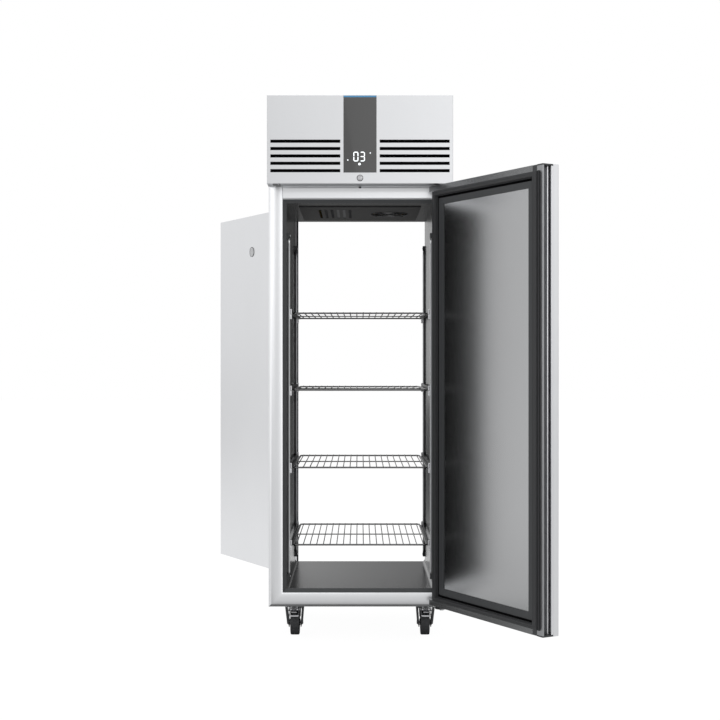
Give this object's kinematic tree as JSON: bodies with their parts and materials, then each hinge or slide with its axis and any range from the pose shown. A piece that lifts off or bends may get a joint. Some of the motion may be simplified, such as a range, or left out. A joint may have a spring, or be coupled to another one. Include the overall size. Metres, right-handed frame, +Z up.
{
  "type": "pass-through refrigerated cabinet",
  "caption": "Upright pass-through refrigerated cabinet on castors with a hinged door on the front and rear, wire shelves, and a refrigeration unit in the header.",
  "frame": {"origin": "on the floor under the middle of the cabinet", "axes": "+Z up, -Y out of the front with the controls, +X to the right as seen from the front"},
  "size_m": [1.3386, 1.9736, 2.08],
  "materials": {
    "stainless_sheet": "fine brushed stainless sheet",
    "liner_steel": "satin steel liner",
    "galvanised_sheet": "dull galvanised sheet",
    "foam": "rigid insulation foam",
    "gasket_rubber": "matte magnetic gasket",
    "dark_plastic": "fine grained moulding",
    "aluminium_profile": "satin anodised profile",
    "control_glass": "gloss dark panel",
    "shelf_wire": "bright plated wire",
    "wheel_rubber": "dark wheel tread",
    "zinc_plate": "bright zinc plate",
    "dark_metal": "dark satin paint",
    "compressor_paint": "gloss black paint",
    "coil_fins": "thin bright fins",
    "copper_pipe": "drawn copper tube",
    "fan_plastic": "moulded blades",
    "badge_plastic": "plain moulded disc"
  },
  "bodies": {
    "cabinet": {"air_duct": "liner_steel", "breaker_strips": "dark_plastic", "castor_plates": "zinc_plate", "compressor": "compressor_paint", "condenser_coil": "coil_fins", "condenser_fan_shroud": "galvanised_sheet", "control_box": "dark_plastic", "control_panel": "control_glass", "door_switches": "dark_plastic", "drip_tray": "galvanised_sheet", "evaporator_coil": "coil_fins", "front_fascia": "stainless_sheet", "front_frame": "stainless_sheet", "hinge_pins": "zinc_plate", "hinge_plates": "dark_metal", "inner_liner": "liner_steel", "insulation": "foam", "louvre_screens": "dark_plastic", "outer_shell": "stainless_sheet", "rear_fascia": "stainless_sheet", "rear_frame": "stainless_sheet", "refrigerant_pipes": "copper_pipe", "shelf_runners": "shelf_wire", "unit_cover": "stainless_sheet", "unit_deck": "galvanised_sheet", "upright_clips": "dark_plastic", "uprights": "shelf_wire"},
    "castor_brake_fl": {"castor_brake_fl": "zinc_plate"},
    "castor_brake_fr": {"castor_brake_fr": "zinc_plate"},
    "castor_fork_fl": {"castor_fork_fl": "zinc_plate"},
    "castor_fork_fr": {"castor_fork_fr": "zinc_plate"},
    "castor_fork_rl": {"castor_fork_rl": "zinc_plate"},
    "castor_fork_rr": {"castor_fork_rr": "zinc_plate"},
    "castor_wheel_fl": {"castor_wheel_fl": "wheel_rubber"},
    "castor_wheel_fr": {"castor_wheel_fr": "wheel_rubber"},
    "castor_wheel_rl": {"castor_wheel_rl": "wheel_rubber"},
    "castor_wheel_rr": {"castor_wheel_rr": "wheel_rubber"},
    "condenser_fan": {"condenser_fan": "fan_plastic"},
    "evaporator_fan": {"evaporator_fan": "fan_plastic"},
    "front_door": {"front_door_end_caps": "dark_plastic", "front_door_foam": "foam", "front_door_frame": "dark_plastic", "front_door_gasket": "gasket_rubber", "front_door_handle": "aluminium_profile", "front_door_liner": "liner_steel", "front_door_skin": "stainless_sheet"},
    "lock_barrel": {"lock_barrel": "zinc_plate"},
    "lock_bolt": {"lock_bolt": "zinc_plate"},
    "rear_door": {"rear_door_badge": "badge_plastic", "rear_door_end_caps": "dark_plastic", "rear_door_foam": "foam", "rear_door_frame": "dark_plastic", "rear_door_gasket": "gasket_rubber", "rear_door_handle": "aluminium_profile", "rear_door_liner": "liner_steel", "rear_door_skin": "stainless_sheet"},
    "shelf_1": {"shelf_1": "shelf_wire"},
    "shelf_2": {"shelf_2": "shelf_wire"},
    "shelf_3": {"shelf_3": "shelf_wire"},
    "shelf_4": {"shelf_4": "shelf_wire"}
  },
  "joints": [
    {"name": "front_door_hinge", "type": "hinge", "parent": "cabinet", "child": "front_door", "pos_m": [0.3095, -0.402, 0], "axis": [0, 0, 1], "range_deg": [-120, 0]},
    {"name": "rear_door_hinge", "type": "hinge", "parent": "cabinet", "child": "rear_door", "pos_m": [-0.3095, 0.402, 0], "axis": [0, 0, 1], "range_deg": [-120, 0]},
    {"name": "shelf_1_slide", "type": "slide", "parent": "cabinet", "child": "shelf_1", "axis": [0, -1, 0], "range_m": [0, 0.4]},
    {"name": "shelf_2_slide", "type": "slide", "parent": "cabinet", "child": "shelf_2", "axis": [0, -1, 0], "range_m": [0, 0.4]},
    {"name": "shelf_3_slide", "type": "slide", "parent": "cabinet", "child": "shelf_3", "axis": [0, -1, 0], "range_m": [0, 0.4]},
    {"name": "shelf_4_slide", "type": "slide", "parent": "cabinet", "child": "shelf_4", "axis": [0, -1, 0], "range_m": [0, 0.4]},
    {"name": "lock_turn", "type": "hinge", "parent": "cabinet", "child": "lock_barrel", "pos_m": [0, -0.438, 1.768], "axis": [0, 1, 0], "range_deg": [0, 90]},
    {"name": "lock_bolt_slide", "type": "slide", "parent": "cabinet", "child": "lock_bolt", "axis": [0, 0, -1], "range_m": [0, 0.01]},
    {"name": "castor_swivel_fl", "type": "hinge", "parent": "cabinet", "child": "castor_fork_fl", "pos_m": [-0.256, -0.215, 0.12], "axis": [0, 0, 1], "continuous": true},
    {"name": "castor_roll_fl", "type": "hinge", "parent": "castor_fork_fl", "child": "castor_wheel_fl", "pos_m": [-0.256, -0.18, 0.05], "axis": [1, 0, 0], "continuous": true},
    {"name": "castor_swivel_fr", "type": "hinge", "parent": "cabinet", "child": "castor_fork_fr", "pos_m": [0.256, -0.215, 0.12], "axis": [0, 0, 1], "continuous": true},
    {"name": "castor_roll_fr", "type": "hinge", "parent": "castor_fork_fr", "child": "castor_wheel_fr", "pos_m": [0.256, -0.18, 0.05], "axis": [1, 0, 0], "continuous": true},
    {"name": "castor_swivel_rl", "type": "hinge", "parent": "cabinet", "child": "castor_fork_rl", "pos_m": [-0.268, 0.215, 0.12], "axis": [0, 0, 1], "continuous": true},
    {"name": "castor_roll_rl", "type": "hinge", "parent": "castor_fork_rl", "child": "castor_wheel_rl", "pos_m": [-0.268, 0.18, 0.05], "axis": [1, 0, 0], "continuous": true},
    {"name": "castor_swivel_rr", "type": "hinge", "parent": "cabinet", "child": "castor_fork_rr", "pos_m": [0.268, 0.215, 0.12], "axis": [0, 0, 1], "continuous": true},
    {"name": "castor_roll_rr", "type": "hinge", "parent": "castor_fork_rr", "child": "castor_wheel_rr", "pos_m": [0.268, 0.18, 0.05], "axis": [1, 0, 0], "continuous": true},
    {"name": "castor_brake_fl_tip", "type": "hinge", "parent": "castor_fork_fl", "child": "castor_brake_fl", "pos_m": [-0.256, -0.245, 0.11], "axis": [1, 0, 0], "range_deg": [0, 20]},
    {"name": "castor_brake_fr_tip", "type": "hinge", "parent": "castor_fork_fr", "child": "castor_brake_fr", "pos_m": [0.256, -0.245, 0.11], "axis": [1, 0, 0], "range_deg": [0, 20]},
    {"name": "condenser_fan_spin", "type": "hinge", "parent": "cabinet", "child": "condenser_fan", "pos_m": [-0.2, -0.318, 1.8285], "axis": [0, 1, 0], "continuous": true},
    {"name": "evaporator_fan_spin", "type": "hinge", "parent": "cabinet", "child": "evaporator_fan", "pos_m": [0.12, 0, 1.71], "axis": [0, 0, 1], "continuous": true}
  ],
  "couplings": [
    {"joint": "lock_bolt_slide", "follows": "lock_turn", "m_per_rad": 0.006366}
  ]
}
